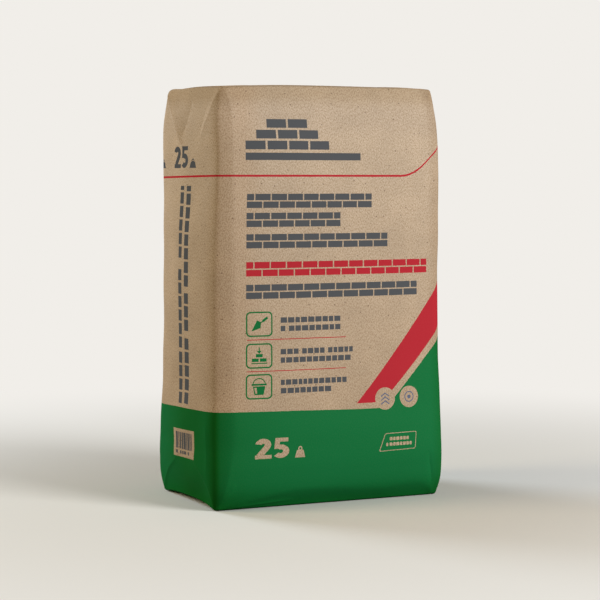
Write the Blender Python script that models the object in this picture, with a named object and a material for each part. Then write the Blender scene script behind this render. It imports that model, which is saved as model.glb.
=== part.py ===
# Paper valve sack of cement, filled and standing on its lower end.
# Metres, +Z up. The front panel faces -Y and the side panels face +X and -X.
# The origin is the centre of the base, on the floor.

import math

import bmesh
import bpy
import numpy as np

# Driving dimensions
SACK_HEIGHT = 0.440
SIDE_PANEL_POINTS = 10
FRONT_PANEL_POINTS = 14
CORNER_POINTS = 5

COVER_THICKNESS = 0.0008
COVER_MARGIN = 0.008
COVER_CORNER = 0.004
PAPER_GAP = 0.0003
EDGE_ROUND = 0.004

SLEEVE_WIDTH = 0.090
SLEEVE_THICKNESS = 0.0012
SLEEVE_SEATED_LENGTH = 0.045
SLEEVE_LIP_LENGTH = 0.012
CUTTER_REACH = 0.010

KRAFT = (0.70, 0.58, 0.45)
COVER_KRAFT = (0.74, 0.63, 0.50)
SLEEVE_KRAFT = (0.80, 0.72, 0.60)

# The filled sack, crease to crease: height up the sack, width, depth,
# radius of the upright corners, and how far the panels swell past them.
STATIONS = (
    (0.000, 0.259, 0.161, 0.004, 0.000),
    (0.018, 0.269, 0.170, 0.011, 0.002),
    (0.040, 0.275, 0.174, 0.017, 0.004),
    (0.072, 0.276, 0.173, 0.020, 0.006),
    (0.125, 0.272, 0.168, 0.020, 0.006),
    (0.240, 0.269, 0.166, 0.020, 0.006),
    (0.360, 0.267, 0.162, 0.019, 0.005),
    (0.400, 0.265, 0.157, 0.016, 0.003),
    (0.427, 0.259, 0.148, 0.009, 0.001),
    (0.440, 0.250, 0.139, 0.004, 0.000),
)
SIDE_SWELL_SHARE = 0.7
LEVELS = 19


def clear_scene():
    for old in list(bpy.data.objects):
        bpy.data.objects.remove(old, do_unlink=True)


def paper(name, color, roughness):
    material = bpy.data.materials.new(name)
    material.use_nodes = True
    shader = material.node_tree.nodes["Principled BSDF"]
    shader.inputs["Base Color"].default_value = (*color, 1.0)
    shader.inputs["Roughness"].default_value = roughness
    shader.inputs["Metallic"].default_value = 0.0
    material.diffuse_color = (*color, 1.0)
    return material


def add_object(name, shape, material):
    bmesh.ops.recalc_face_normals(shape, faces=shape.faces)
    mesh = bpy.data.meshes.new(name)
    shape.to_mesh(mesh)
    shape.free()
    mesh.materials.append(material)
    mesh.shade_smooth()
    mesh.set_sharp_from_angle(angle=math.radians(35.0))
    piece = bpy.data.objects.new(name, mesh)
    bpy.context.scene.collection.objects.link(piece)
    return piece


def section_at(height):
    # A smooth curve through the stations: cubic pieces that share a slope at each station.
    table = np.array(STATIONS)
    heights = table[:, 0]
    slopes = np.gradient(table[:, 1:], heights, axis=0)
    low = int(np.clip(np.searchsorted(heights, height) - 1, 0, len(heights) - 2))
    step = heights[low + 1] - heights[low]
    t = (height - heights[low]) / step
    start = table[low, 1:]
    end = table[low + 1, 1:]
    return (
        (2 * t**3 - 3 * t**2 + 1) * start
        + (t**3 - 2 * t**2 + t) * step * slopes[low]
        + (3 * t**2 - 2 * t**3) * end
        + (t**3 - t**2) * step * slopes[low + 1]
    )


def panel(start, end, outward, swell, count):
    # Points along one panel, which swells to a cosine hump halfway.
    points = []
    for i in range(count):
        t = i / count
        hump = swell * 0.5 * (1.0 - math.cos(2.0 * math.pi * t))
        x = start[0] + (end[0] - start[0]) * t + outward[0] * hump
        y = start[1] + (end[1] - start[1]) * t + outward[1] * hump
        points.append((x, y))
    return points


def corner(centre, radius, first_angle):
    points = []
    for i in range(CORNER_POINTS):
        angle = first_angle + 0.5 * math.pi * i / CORNER_POINTS
        points.append((centre[0] + radius * math.cos(angle), centre[1] + radius * math.sin(angle)))
    return points


def ring(height, inset):
    # One closed section of the sack, anticlockwise from the +X panel's front corner.
    width, depth, radius, swell = section_at(height)
    a = width / 2 - inset
    b = depth / 2 - inset
    side_swell = swell * SIDE_SWELL_SHARE
    points = panel((a, -b + radius), (a, b - radius), (1, 0), side_swell, SIDE_PANEL_POINTS)
    points += corner((a - radius, b - radius), radius, 0.0)
    points += panel((a - radius, b), (-a + radius, b), (0, 1), swell, FRONT_PANEL_POINTS)
    points += corner((-a + radius, b - radius), radius, 0.5 * math.pi)
    points += panel((-a, b - radius), (-a, -b + radius), (-1, 0), side_swell, SIDE_PANEL_POINTS)
    points += corner((-a + radius, -b + radius), radius, math.pi)
    points += panel((-a + radius, -b), (a - radius, -b), (0, -1), swell, FRONT_PANEL_POINTS)
    points += corner((a - radius, -b + radius), radius, 1.5 * math.pi)
    return points


def sack_levels(bottom, top):
    # Each end rolls over its edge on a quarter round, and between the rolls
    # the levels crowd towards the ends, where the sack tapers most.
    roll = [(0.0, 1.0), (0.13, 0.5), (0.5, 0.134), (1.0, 0.0)]
    levels = [(bottom + EDGE_ROUND * rise, EDGE_ROUND * inset) for rise, inset in roll]
    low = bottom + EDGE_ROUND
    high = top - EDGE_ROUND
    for i in range(1, LEVELS):
        share = 0.5 * (1.0 - math.cos(math.pi * i / LEVELS))
        levels.append((low + (high - low) * share, 0.0))
    levels += [(top - EDGE_ROUND * rise, EDGE_ROUND * inset) for rise, inset in reversed(roll)]
    return levels


def build_sack(material):
    end_clearance = COVER_THICKNESS + PAPER_GAP
    top = SACK_HEIGHT - end_clearance
    shape = bmesh.new()
    rings = []
    for height, inset in sack_levels(end_clearance, top):
        rings.append([shape.verts.new((x, y, height)) for x, y in ring(height, inset)])
    for lower, upper in zip(rings, rings[1:]):
        for i in range(len(lower)):
            j = (i + 1) % len(lower)
            shape.faces.new((lower[i], lower[j], upper[j], upper[i]))
    shape.faces.new(list(reversed(rings[0])))
    shape.faces.new(rings[-1])
    sack = add_object("sack", shape, material)
    cut_sleeve_pocket(sack, top)
    return sack


def box_shape(low, high, corner_radius=0.0):
    shape = bmesh.new()
    bmesh.ops.create_cube(shape, size=1.0)
    for vert in shape.verts:
        vert.co = [low[k] + (vert.co[k] + 0.5) * (high[k] - low[k]) for k in range(3)]
    if corner_radius > 0.0:
        half_height = 0.5 * (high[2] - low[2])
        upright = [e for e in shape.edges if abs(e.verts[0].co.z - e.verts[1].co.z) > half_height]
        bmesh.ops.bevel(shape, geom=upright, offset=corner_radius, segments=3, affect="EDGES", profile=0.5)
    return shape


def sleeve_box(top, spread):
    # The flattened sleeve, or its pocket when spread is the gap left around it.
    half_width = SLEEVE_WIDTH / 2 + spread
    edge = section_at(SACK_HEIGHT)[0] / 2
    low = (edge - SLEEVE_SEATED_LENGTH - spread, -half_width, top - SLEEVE_THICKNESS - spread)
    high = (edge + SLEEVE_LIP_LENGTH + spread, half_width, top + spread)
    return low, high


def cut_sleeve_pocket(sack, top):
    # The sleeve lies flush in the top, so that the cover passes flat over both.
    low, high = sleeve_box(top, PAPER_GAP)
    high = (high[0] + CUTTER_REACH, high[1], high[2] + CUTTER_REACH)
    cutter = add_object("sleeve_pocket_cutter", box_shape(low, high), sack.data.materials[0])
    cutter.hide_render = True
    cutter.display_type = "WIRE"
    cut = sack.modifiers.new("sleeve_pocket", "BOOLEAN")
    cut.operation = "DIFFERENCE"
    cut.solver = "EXACT"
    cut.object = cutter


def build_cover(name, bottom, height, material):
    width, depth = section_at(height)[:2]
    half_width = width / 2 - COVER_MARGIN
    half_depth = depth / 2 - COVER_MARGIN
    low = (-half_width, -half_depth, bottom)
    high = (half_width, half_depth, bottom + COVER_THICKNESS)
    return add_object(name, box_shape(low, high, COVER_CORNER), material)


def build_sleeve(material):
    top = SACK_HEIGHT - COVER_THICKNESS - PAPER_GAP
    low, high = sleeve_box(top, 0.0)
    return add_object("valve_sleeve", box_shape(low, high, COVER_CORNER), material)


def main():
    clear_scene()
    build_sack(paper("natural_kraft_paper", KRAFT, 0.8))
    cover_paper = paper("cover_kraft_paper", COVER_KRAFT, 0.8)
    build_cover("bottom_cover", 0.0, 0.0, cover_paper)
    build_cover("top_cover", SACK_HEIGHT - COVER_THICKNESS, SACK_HEIGHT, cover_paper)
    build_sleeve(paper("sleeve_kraft_paper", SLEEVE_KRAFT, 0.75))


main()
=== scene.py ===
import math

import bmesh
import bpy
import numpy as np
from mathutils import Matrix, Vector
from mathutils.geometry import delaunay_2d_cdt


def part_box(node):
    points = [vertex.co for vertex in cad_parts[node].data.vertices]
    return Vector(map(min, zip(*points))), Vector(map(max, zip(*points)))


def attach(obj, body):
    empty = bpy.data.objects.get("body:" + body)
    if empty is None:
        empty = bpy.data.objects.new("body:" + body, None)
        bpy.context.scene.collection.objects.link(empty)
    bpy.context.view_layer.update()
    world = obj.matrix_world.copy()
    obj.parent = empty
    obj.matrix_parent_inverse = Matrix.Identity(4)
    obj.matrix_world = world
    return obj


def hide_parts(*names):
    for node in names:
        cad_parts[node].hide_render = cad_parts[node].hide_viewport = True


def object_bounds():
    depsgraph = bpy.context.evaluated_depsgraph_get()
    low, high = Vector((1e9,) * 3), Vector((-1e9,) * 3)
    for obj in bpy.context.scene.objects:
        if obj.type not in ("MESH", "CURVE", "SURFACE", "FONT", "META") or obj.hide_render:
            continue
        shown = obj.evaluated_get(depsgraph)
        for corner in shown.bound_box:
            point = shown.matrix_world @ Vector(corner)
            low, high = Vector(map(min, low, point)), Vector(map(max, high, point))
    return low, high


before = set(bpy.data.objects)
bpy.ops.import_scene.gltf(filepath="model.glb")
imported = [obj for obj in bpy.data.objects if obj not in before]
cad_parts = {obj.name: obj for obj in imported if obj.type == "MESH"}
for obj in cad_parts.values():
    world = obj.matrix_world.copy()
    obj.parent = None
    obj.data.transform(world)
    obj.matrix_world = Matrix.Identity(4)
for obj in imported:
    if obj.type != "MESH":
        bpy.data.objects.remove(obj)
cadLow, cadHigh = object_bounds()
print("frame loaded, object box", [round(v, 4) for v in (*cadLow, *cadHigh)])

mm = 0.001
sackHeight = cadHigh.z / mm  # 440, floor to top cover
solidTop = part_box("sack")[1].z / mm  # 438.9, the sack's own top under that cover


# Colour and shader helpers

def fromHex(text):  # sRGB hex to Blender's linear colour
    parts = [int(text[i:i + 2], 16) / 255 for i in (1, 3, 5)]
    return (*[c / 12.92 if c <= 0.04045 else ((c + 0.055) / 1.055) ** 2.4 for c in parts], 1.0)


mixFactor, mixA, mixB, mixColour = 0, 6, 7, 2  # sockets of a Mix node set to colour


def addNode(tree, kind, settings=None, values=None, links=None):
    # One shader node: its settings, its unlinked sockets' values, and what feeds the linked ones, which is
    # a socket, or a node for its first output.
    node = tree.nodes.new("ShaderNode" + kind)
    for name, value in (settings or {}).items():
        setattr(node, name, value)
    for socket, value in (values or {}).items():
        node.inputs[socket].default_value = value
    for socket, source in (links or {}).items():
        tree.links.new(getattr(source, "outputs", [source])[0], node.inputs[socket])
    return node


def spread(low, high, first=0.0, last=1.0):
    # Values that take low to first and high to last.
    return {"From Min": low, "From Max": high, "To Min": first, "To Max": last}


def setStops(ramp, stops):
    # Gives a colour ramp its (place, colour) stops, in order.
    elements = ramp.color_ramp.elements
    while len(elements) < len(stops):
        elements.new(0.5)
    for element, (place, colour) in zip(elements, stops):
        element.position = place
        element.color = colour


def newMaterial(name):
    material = bpy.data.materials.new(name)
    material.use_nodes = True
    return material, material.node_tree, material.node_tree.nodes["Principled BSDF"]


def addObject(name, data):
    piece = bpy.data.objects.new(name, data)
    bpy.context.scene.collection.objects.link(piece)
    return piece


def addMesh(name, shape, materials):
    data = bpy.data.meshes.new(name)
    shape.to_mesh(data)
    shape.free()
    for material in materials:
        data.materials.append(material)
    return addObject(name, data)


# Kraft paper, unbleached and machine finished: brown wood fibres lie mostly up the tube, so the eye
# sees a soft lengthwise mottle, pale and dark fibre specks and a few dark flecks of bark.

kraftPaper = {
    "darkFibre": "#AF9579",
    "colour": "#C7AF95",
    "paleFibre": "#D5C1A8",
    "toneStops": (0.30, 0.50, 0.74),  # places on the grain's noise of these three
    "grainMm": 1.15,  # real fibres are about 0.03 mm wide, drawn as coarse clumps so that they show
    "grainLengthMm": 1.7,
    "grainTurn": 33.0,  # degrees, so that no clump lines up with a fold
    "cloudMm": 42.0,  # formation clouds in the sheet
    "cloudShade": (0.93, 1.05),
    "fleck": "#7A6450",
    "fleckSpacingMm": 26.0,
    "fleckSizeMm": 0.9,
    "fleckCore": 0.35,  # share of its size that is fully dark
    "foldPale": "#E0CBB5",  # fibres broken along a fold look paler
    "foldWear": (0.38, 0.95),
    "paintedShades": [  # painted shade: colours that multiply the sheet, by shares at places in mm round it (X) or up it (Y)
        {"colour": "#F0EAE2", "axis": "Y", "shares": [(100, 1), (420, 0)]},  # painted shade, darker towards the floor
        # painted shade along the top end's rim, and fainter painted shade over the top end's upper band
        {"colour": "#EFEBE2", "axis": "Y", "shares": [(417, 0), (424, 0.45), (429, 0.9), (434, 1)]},
        {"colour": "#F9F9FA", "axis": "Y", "shares": [(386, 0), (402, 1)]},
        # painted shade on the near upright corner and the front beside it, and on the -X side panel behind
        # it
        {"colour": "#FAF5F0", "axis": "X", "shares": [(-133, 0), (-129, 1), (-103, 1), (-80, 0)]},
        {"colour": "#F7F7F6", "axis": "X",
         "shares": [(-240, 0), (-212, 0.9), (-180, 1), (-150, 0.4), (-138, 0)]},
        # painted shade on the +X fold of the front
        {"colour": "#DCD3C8", "axis": "X",
         "shares": [(112, 0), (123, 0.45), (129, 0.6), (134, 0.35), (148, 0)]},
    ],
    "roughness": 0.86,
    "specular": 0.04,  # the loose fibre surface scatters nearly all of the gloss
    "ior": 1.47,
    "grainHeightMm": 0.014,
    "cloudHeightMm": 0.10,
}

# The covers are cut from the same roll, a little paler on this face, and the sleeve is a thinner,
# lighter kraft.

coverKraft = {"colour": "#CFB79C", "darkFibre": "#B99F83", "paleFibre": "#DDC9B0"}
sleeveKraft = {"colour": "#D9C6AD", "darkFibre": "#C6B196", "paleFibre": "#E4D4BD"}

# Flexographic ink, printed on the same sheet: the film is thin, so the fibres under it still show as a
# faint mottle, and it is a little smoother than bare kraft.

flexoInk = {
    "colours": {"green": "#14713B", "red": "#B92A34", "grey": "#545557", "blueGrey": "#626A80"},
    "showThrough": 0.012,
    # painted shade on the inks, by shares as for the bare sheet
    "paintedShades": {
        "green": [
            # painted shade, darker towards the foot
            {"colour": "#C8FAB8", "axis": "Y", "shares": [(2, 0.8), (10, 0.45), (24, 0.08), (34, 0)]},
            # painted shade on the side panels and beside the upright folds, deepest at the near corner
            {"colour": "#C3CA68", "axis": "X", "shares": [
                (-290, 0), (-262, 0.1), (-232, 0.35), (-200, 0.62), (-165, 0.62), (-145, 0.5), (-135, 0.75),
                (-130, 0.9), (-125, 0.45), (-117, 0.3), (-95, 0.15), (-60, 0.05), (0, 0), (116, 0),
                (130, 0.5), (140, 0.4), (200, 0.4), (280, 0)]},
        ],
    },
    "roughness": 0.6,
    "specular": 0.04,
    "ior": 1.5,
}


def kraftLayers(tree, look):
    # The bare sheet on its own flat coordinates. Those are in metres, and are scaled so that one noise
    # cell is one clump of fibres, one cloud or one fleck's surroundings.
    paper = addNode(tree, "UVMap", {"uv_map": "paper"})
    cells = ((look["grainMm"], look["grainLengthMm"]), (look["cloudMm"],) * 2, (look["fleckSpacingMm"],) * 2)
    clumpAt, cloudAt, fleckAt = [
        addNode(tree, "Mapping", values={"Scale": (1 / (wide * mm), 1 / (tall * mm), 1.0)},
                links={"Vector": paper})
        for wide, tall in cells
    ]
    grainAt = addNode(tree, "VectorRotate", {"rotation_type": "Z_AXIS"},
                      {"Angle": math.radians(look["grainTurn"])}, {"Vector": clumpAt})
    grain, cloud = [
        addNode(tree, "TexNoise", {"noise_dimensions": "2D"},
                {"Scale": 1.0, "Detail": detail, "Roughness": roughness}, {"Vector": place})
        for place, detail, roughness in ((grainAt, 2.0, 0.5), (cloudAt, 5.0, 0.6))
    ]
    tone = addNode(tree, "ValToRGB", links={"Fac": grain})
    fibres = [fromHex(look[key]) for key in ("darkFibre", "colour", "paleFibre")]
    setStops(tone, list(zip(look["toneStops"], fibres)))
    shade = addNode(tree, "MapRange", values=spread(0.3, 0.7, *look["cloudShade"]), links={"Value": cloud})
    clouded = addNode(tree, "VectorMath", {"operation": "SCALE"}, links={"Vector": tone, "Scale": shade})
    cell = addNode(tree, "TexVoronoi", {"voronoi_dimensions": "2D", "feature": "F1"},
                   {"Scale": 1.0, "Randomness": 1.0}, {"Vector": fleckAt})
    fleckEdge = look["fleckSizeMm"] / look["fleckSpacingMm"]
    fleck = addNode(tree, "MapRange", {"interpolation_type": "SMOOTHSTEP"},
                    spread(fleckEdge, look["fleckCore"] * fleckEdge), {"Value": cell})
    flecked = addNode(tree, "Mix", {"data_type": "RGBA"}, {mixB: fromHex(look["fleck"])},
                      {mixFactor: fleck, mixA: clouded})
    return paper, grain, cloud, flecked.outputs[mixColour]


def foldWorn(tree, grain, surface, look):
    # The mesh carries how hard each point was folded, and the grain breaks the worn line up.
    folded = addNode(tree, "Attribute", {"attribute_name": "fold"})
    broken = addNode(tree, "MapRange", values=spread(0.35, 0.6, *look["foldWear"]), links={"Value": grain})
    share = addNode(tree, "Math", {"operation": "MULTIPLY"}, links={0: folded.outputs["Fac"], 1: broken})
    return addNode(tree, "Mix", {"data_type": "RGBA"}, {mixB: fromHex(look["foldPale"])},
                   {mixFactor: share, mixA: surface}).outputs[mixColour]


def addPaintedShade(tree, paper, surface, paintedShade):
    # Multiplies painted shade into the surface, by shares along one axis of the flat sheet.
    places = [place for place, _ in paintedShade["shares"]]
    first, last = places[0], places[-1]
    parts = addNode(tree, "SeparateXYZ", links={"Vector": paper})
    along = addNode(tree, "MapRange", values=spread(first * mm, last * mm),
                    links={"Value": parts.outputs[paintedShade["axis"]]})
    share = addNode(tree, "ValToRGB", links={"Fac": along})
    setStops(share, [((place - first) / (last - first), (amount, amount, amount, 1.0))
                     for place, amount in paintedShade["shares"]])
    return addNode(tree, "Mix", {"data_type": "RGBA", "blend_type": "MULTIPLY"},
                   {mixB: fromHex(paintedShade["colour"])}, {mixFactor: share, mixA: surface}).outputs[mixColour]


def paperMaterial(name, look, ink=None):
    # Bare paper, or the same paper under a film of ink, with painted shade multiplied in.
    material, tree, shader = newMaterial(name)
    paper, grain, cloud, bare = kraftLayers(tree, look)
    surface = foldWorn(tree, grain, bare, look)
    finish, paintedShades = look, look["paintedShades"]
    if ink:
        finish, paintedShades = flexoInk, flexoInk["paintedShades"].get(ink, [])
        thin = addNode(tree, "MapRange", values=spread(0.35, 0.75, 0.0, flexoInk["showThrough"]),
                       links={"Value": grain})
        surface = addNode(tree, "Mix", {"data_type": "RGBA"}, {mixA: fromHex(flexoInk["colours"][ink])},
                          {mixFactor: thin, mixB: surface}).outputs[mixColour]
    for paintedShade in paintedShades:
        surface = addPaintedShade(tree, paper, surface, paintedShade)
    tree.links.new(surface, shader.inputs["Base Color"])
    fine = addNode(tree, "Bump", values={"Strength": 1.0, "Distance": look["grainHeightMm"] * mm},
                   links={"Height": grain})
    coarse = addNode(tree, "Bump", values={"Strength": 1.0, "Distance": look["cloudHeightMm"] * mm},
                     links={"Height": cloud, "Normal": fine})
    tree.links.new(coarse.outputs[0], shader.inputs["Normal"])
    for socket, key in (("Roughness", "roughness"), ("IOR", "ior"), ("Specular IOR Level", "specular")):
        shader.inputs[socket].default_value = finish[key]
    return material


# The sack's filled shape, in millimetres. Each station has its height, width and depth from panel to
# panel, radius of the upright corners, how far the front and back panels and the side panels swell past
# them, and how far the section has slumped towards +X.

sack = {
    "stations": [
        (0, 261.4, 147.5, 3, 0, 0, -0.8),
        (18, 265.6, 168.2, 9, 2.4, 1.6, -1),
        (40, 268.2, 177, 14.5, 5, 3.4, -1.3),
        (72, 269.2, 176.5, 20, 7.6, 5, -1.3),
        (125, 266.8, 170.2, 21, 8, 6, -0.8),
        (240, 265.3, 164.5, 20.5, 7.6, 6.5, 0.2),
        (310, 263.5, 164, 19, 7, 6, 0.5),
        (360, 262.7, 163.9, 17, 6, 4.4, 0.8),
        (385, 262.8, 163.4, 16.5, 4.8, 3.2, 0.7),
        (404, 261.4, 160.5, 16, 3.2, 2.3, 0.4),
        (422, 256.2, 154.4, 13, 1.8, 1.3, 0),
        (433, 251, 149.6, 8, 0.8, 0.5, -0.2),
        (440, 247, 146, 5.5, 0, 0, 0),
    ],
    "frontWidth": 260,  # of the flat tube, between its upright folds
    "sideWidth": 160,
    "foot": 0.45,  # thickness of the cover under it
    # Spans give a start and the length over which a change sets in.
    "backWider": 1.7,  # near the top the section is this much wider at the back, on each side
    "backWiderSpan": (290, 110),
    "cornerDrop": (0.3, 0.3, 0.5, 0.9),  # the top end's corners sink a little, round from the back left
    "cornerDropReach": 11,
    "cornerDropSpan": (424, 16),
    "topLift": 1.7,  # the top end stands higher than nominal, save at its near left corner
    "topLiftSpan": (400, 40),
    "topSink": (-125, -73, 3.4, 95),  # where it has sunk, how deep and how far round
    "footLift": 4.6,  # the base's short edges roll up off the floor
    "footLiftReach": 22,
    "footLiftLean": 0.25,  # a little more towards the front
    "footLiftHeight": 45,  # and the side panels with them, up to here
    # The V on a side panel at each end: its front arm and its back arm, from the corner to the point.
    "topArms": (
        [(130, 440), (138, 430), (142, 421), (146.4, 412.8), (152.2, 405.6), (160, 397.5), (167.2, 389.4),
         (178, 376), (194, 360)],
        [(290, 440), (268.5, 424.7), (262.8, 420.5), (252.7, 413.2), (242.9, 405.7), (233.8, 397.1),
         (226.6, 388.4), (212, 374), (194, 360)],
    ),
    "footArms": (
        [(130, 0), (136, 12), (144, 25), (156, 38), (178, 52), (200, 62)],
        [(290, 0), (283.8, 4.3), (275, 10.3), (262.6, 20), (250.3, 29.7), (232.6, 40), (216, 52), (200, 62)],
    ),
    "armCrease": 0.3,  # share of the fall beside the V that starts at its arm
    "armFade": 0.3,  # and how far past its point the V still shows, in its own heights
    "frontPower": 2.8,  # a high power keeps a swollen panel flat in its middle
    "sidePower": 2,
    "edgeRound": 1.6,
    # An upright corner from its fold inwards: (share of the corner's radius, degrees the paper has turned).
    "frontCorner": [(0, 45), (0.12, 27), (0.7, 20), (1, 0)],
    "frontCornerAtEnd": [(0, 45), (0.10, 25), (0.86, 22), (0.95, 5), (1, 0)],
    "farCorner": [(0, 45), (0.3, 33), (0.7, 12), (1, 0)],  # the front's corner on the +X side
    "sideCorner": [(0, 45), (0.14, 14), (0.6, 5), (1, 0)],
    "facetReach": 130,  # the soft facets beside a corner fade out this far from the ends
    "farCornerShare": 0.45,  # that corner's radius, as a share of the others'
    "farCornerPull": 0.6,  # how much of the saved radius its fold moves in by
    # The buckle above the lower edge of the front and the back.
    "tuckPath": [(-129, 0), (-120, 2.8), (-108, 5.2), (-97, 8), (-87, 10.6), (-77, 13), (-66.7, 15.8),
                 (-52, 18.8), (-39, 20.4), (-16, 20.2), (7, 19), (30, 16.6), (60, 14.6), (77, 16.5),
                 (91, 18.5), (106, 17), (116, 11), (122, 5), (127, 0)],
    "tuckUndercut": 1.4,
    "tuckRidge": 1.45,
    "tuckReach": 14,
    "tuckSoftSpan": (-10, 50),  # to the right its ridge is rounded
    "tuckMinimum": 8,  # where the buckle is lower than this it fades out
    "seamAt": 372,  # the tube's glued lap, off the middle of the back
    "seamLap": 0.45,
    "seamEdge": 0.4,
    "seamWidth": 26,
    # Unevenness of the paper: height, wavelength, number of waves, seed, and how near the ends it fades.
    "ripples": [(0.55, 150, 9, 11, 40), (0.22, 48, 14, 23, 14)],
    "fill": 0.92,
}

# The flat tube, as paper distances round it from the middle of the front
halfGirth = sack["frontWidth"] + sack["sideWidth"]  # 420, the back's middle
frontFold = sack["frontWidth"] / 2  # 130
backFold = frontFold + sack["sideWidth"]  # 290
sideMiddle = (frontFold + backFold) / 2  # 210


def sectionAt(z):
    # The section at each height, on a smooth curve through the stations.
    table = np.array(sack["stations"], float)
    heights = table[:, 0]
    slopes = np.gradient(table[:, 1:], heights, axis=0)
    z = np.clip(z, 0.0, heights[-1])
    low = np.clip(np.searchsorted(heights, z, side="right") - 1, 0, len(heights) - 2)
    step = heights[low + 1] - heights[low]
    t = ((z - heights[low]) / step)[..., None]
    step = step[..., None]
    values = (
        (2 * t**3 - 3 * t**2 + 1) * table[low, 1:]
        + (t**3 - 2 * t**2 + t) * step * slopes[low]
        + (3 * t**2 - 2 * t**3) * table[low + 1, 1:]
        + (t**3 - t**2) * step * slopes[low + 1]
    )
    return [values[..., k] for k in range(values.shape[-1])]


def unit(x):
    return np.clip(x, 0.0, 1.0)


def smooth(x):
    x = unit(x)
    return x * x * (3 - 2 * x)


def after(place, span):
    # 0 before the span's start, 1 past its length, and smooth between.
    start, length = span
    return smooth((place - start) / length)


def rippleAt(u, v, seed, wavelength, count):
    # A gentle unevenness that closes round the tube: a sum of seeded waves.
    rng = np.random.default_rng(seed)
    total = np.zeros_like(u)
    for i in range(count):
        turns = rng.integers(1, max(2, int(2 * halfGirth / wavelength)))
        tall = rng.uniform(0.2, 1.0) * 2 * math.pi / wavelength
        phase = rng.uniform(0, 2 * math.pi)
        side = rng.choice((-1, 1))
        total += np.sin(2 * math.pi * turns * u / (2 * halfGirth) + side * tall * v + phase)
    return total / math.sqrt(count)


def panelAt(u):
    # Which panel a point is on, and how far it is from that panel's middle, from -1 to 1.
    front = np.abs(u) <= frontFold
    back = np.abs(u) >= backFold
    middle = np.where(front, 0.0, np.where(back, halfGirth, sideMiddle) * np.sign(u))
    return front, back, (u - middle) / np.where(front | back, sack["frontWidth"], sack["sideWidth"]) * 2


def cornerTable(turns):
    # From a list of (share of the radius from the fold, degrees turned), how far a panel drops and runs.
    share = np.linspace(0.0, 1.0, 201)
    angle = np.radians(np.interp(share, *np.array(turns, float).T))
    run, drop = [
        np.concatenate([[0.0], np.cumsum(0.5 * (wave(angle[1:]) + wave(angle[:-1]))) * share[1]])
        for wave in (np.cos, np.sin)
    ]
    return share, drop[-1] - drop, run[-1] - run


cornerTables = {name: cornerTable(sack[name])
                for name in ("frontCorner", "frontCornerAtEnd", "farCorner", "sideCorner")}
dropColumn, runColumn = 1, 2


def earAt(v):
    # The V's two arms at each height, as paper distances, and how far each height is from the V's point
    # towards the end of the sack, from 0 to 1.
    upper = v > sackHeight / 2
    arms = []
    for top, foot in zip(sack["topArms"], sack["footArms"]):
        topU, topV = np.array(top[::-1], float).T
        footU, footV = np.array(foot, float).T
        arms.append(np.where(upper, np.interp(v, topV, topU), np.interp(v, footV, footU)))
    depth = np.where(upper, sackHeight - sack["topArms"][0][-1][1], sack["footArms"][0][-1][1])
    return arms[0], arms[1], 1 - np.minimum(v, sackHeight - v) / depth


def topLiftAt(x, y):
    cornerX, cornerY, depth, reach = sack["topSink"]
    away = np.hypot(x - cornerX, y - cornerY)
    return sack["topLift"] - depth * unit(1 - away / reach) ** 2


def footLiftAt(forward):
    # Along a short edge of the base, from -1 at the back to 1 at the front.
    return sack["footLift"] * (1 - np.abs(forward) ** 3) * (1 + sack["footLiftLean"] * forward)


def baseLiftAt(x, y):
    width, depth = sack["stations"][0][1:3]
    inward = unit((np.abs(x) - width / 2) / sack["footLiftReach"] + 1)
    return footLiftAt(np.clip(-2 * y / depth, -1.0, 1.0)) * inward**2


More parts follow.
